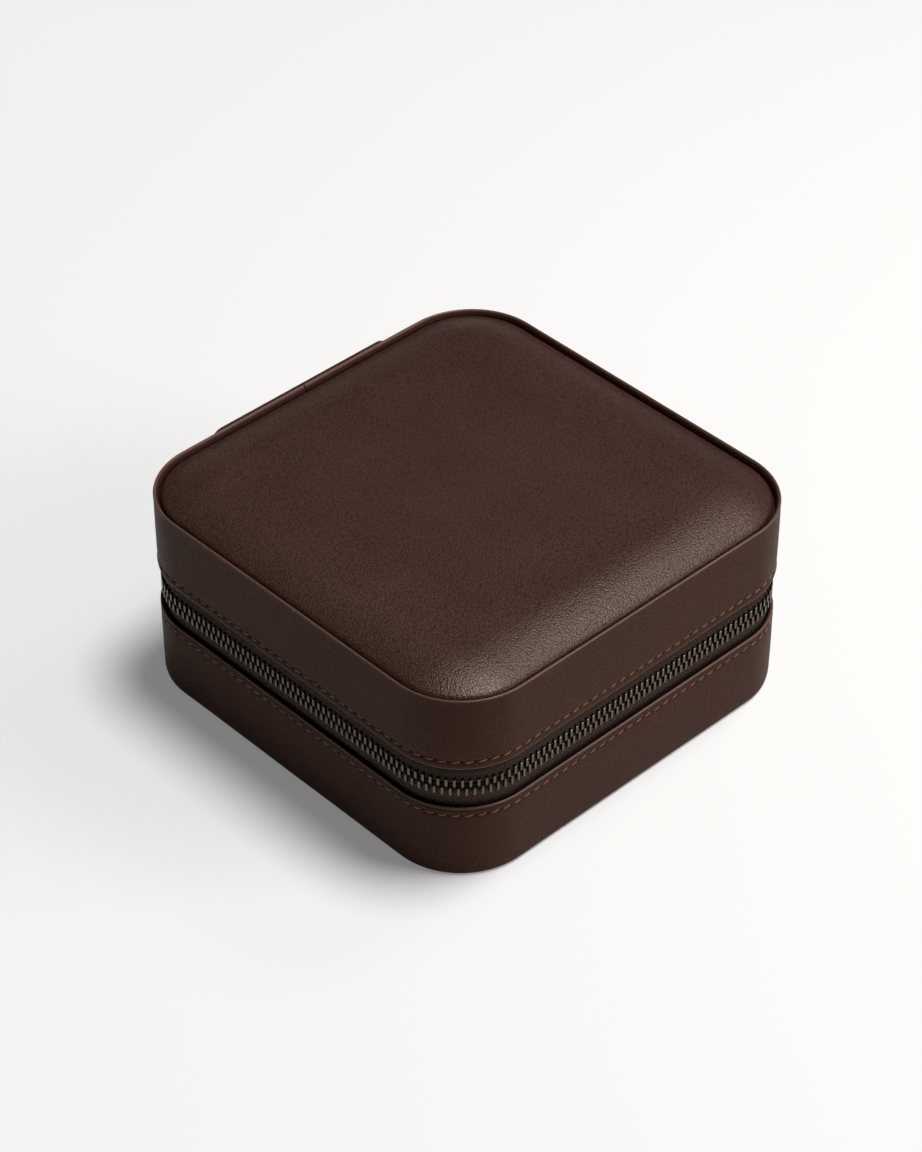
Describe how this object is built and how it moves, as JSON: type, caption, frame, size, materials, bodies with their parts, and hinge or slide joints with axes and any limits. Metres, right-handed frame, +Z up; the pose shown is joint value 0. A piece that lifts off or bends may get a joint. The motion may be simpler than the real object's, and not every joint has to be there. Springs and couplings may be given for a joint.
{
  "type": "jewellery case",
  "caption": "Square leather jewellery case with a padded hinged lid that zips round three sides, lined inside, with ring rolls, a lift-out divider, a lid pocket and necklace tabs.",
  "frame": {"origin": "middle of the flat underside that the case stands on", "axes": "+Z up through the lid, the front faces -Y, the hinge strap is at +Y and the zip slider at +X"},
  "size_m": [0.1184, 0.1164, 0.0551],
  "materials": {
    "brown_leather": "satin",
    "grey_board": "matte",
    "foam": "matte",
    "suede_lining": "matte",
    "pocket_cloth": "matte",
    "elastic": "matte",
    "zip_tape": "matte",
    "aged_brass": "satin"
  },
  "bodies": {
    "base": {"base_wall_leather": "brown_leather", "base_bottom_panel": "brown_leather", "base_floor_board": "grey_board", "base_frame": "grey_board", "base_lining": "suede_lining", "divider_fixed": "suede_lining", "divider_guides": "suede_lining", "ring_tray": "suede_lining", "ring_roll_1": "suede_lining", "ring_roll_2": "suede_lining", "ring_roll_3": "suede_lining", "ring_roll_4": "suede_lining", "ring_roll_5": "suede_lining", "ring_roll_6": "suede_lining", "hinge_strap": "brown_leather", "hinge_lining": "suede_lining", "zip_tape_base": "zip_tape", "zip_teeth_base": "aged_brass", "zip_top_stop_base": "aged_brass", "zip_bottom_stop": "aged_brass"},
    "lid": {"lid_wall_leather": "brown_leather", "lid_frame": "grey_board", "lid_board": "grey_board", "lid_foam": "foam", "lid_top_leather": "brown_leather", "lid_lining": "suede_lining", "lid_pocket": "pocket_cloth", "pocket_elastic": "elastic", "necklace_strip": "brown_leather", "snap_studs": "aged_brass", "zip_tape_lid": "zip_tape", "zip_teeth_lid": "aged_brass", "zip_top_stop_lid": "aged_brass"},
    "zip_slider": {"zip_slider": "aged_brass"},
    "zip_pull": {"zip_pull": "aged_brass"},
    "lift_out_divider": {"divider_lift_out": "suede_lining"},
    "necklace_tab_1": {"necklace_tab_1": "brown_leather", "snap_cap_1": "aged_brass"},
    "necklace_tab_2": {"necklace_tab_2": "brown_leather", "snap_cap_2": "aged_brass"},
    "necklace_tab_3": {"necklace_tab_3": "brown_leather", "snap_cap_3": "aged_brass"}
  },
  "joints": [
    {"name": "lid_hinge", "type": "hinge", "parent": "base", "child": "lid", "pos_m": [0, 0.0582, 0.02665], "axis": [-1, 0, 0], "range_deg": [0, 110], "deforming": ["hinge_strap", "hinge_lining"]},
    {"name": "zip_slide", "type": "slide", "parent": "base", "child": "zip_slider", "axis": [0, -1, 0], "range_m": [0, 0.06], "deforming": ["zip_teeth_base", "zip_teeth_lid"]},
    {"name": "pull_flip", "type": "hinge", "parent": "zip_slider", "child": "zip_pull", "pos_m": [0.05917, 0.03085, 0.02665], "axis": [0, 0, 1], "range_deg": [0, 180]},
    {"name": "divider_lift", "type": "slide", "parent": "base", "child": "lift_out_divider", "axis": [0, 0, 1], "range_m": [0, 0.0135]},
    {"name": "tab_1_flip", "type": "hinge", "parent": "lid", "child": "necklace_tab_1", "pos_m": [-0.028, -0.0411, 0.04545], "axis": [-1, 0, 0], "range_deg": [0, 95]},
    {"name": "tab_2_flip", "type": "hinge", "parent": "lid", "child": "necklace_tab_2", "pos_m": [0, -0.0411, 0.04545], "axis": [-1, 0, 0], "range_deg": [0, 95]},
    {"name": "tab_3_flip", "type": "hinge", "parent": "lid", "child": "necklace_tab_3", "pos_m": [0.028, -0.0411, 0.04545], "axis": [-1, 0, 0], "range_deg": [0, 95]}
  ]
}
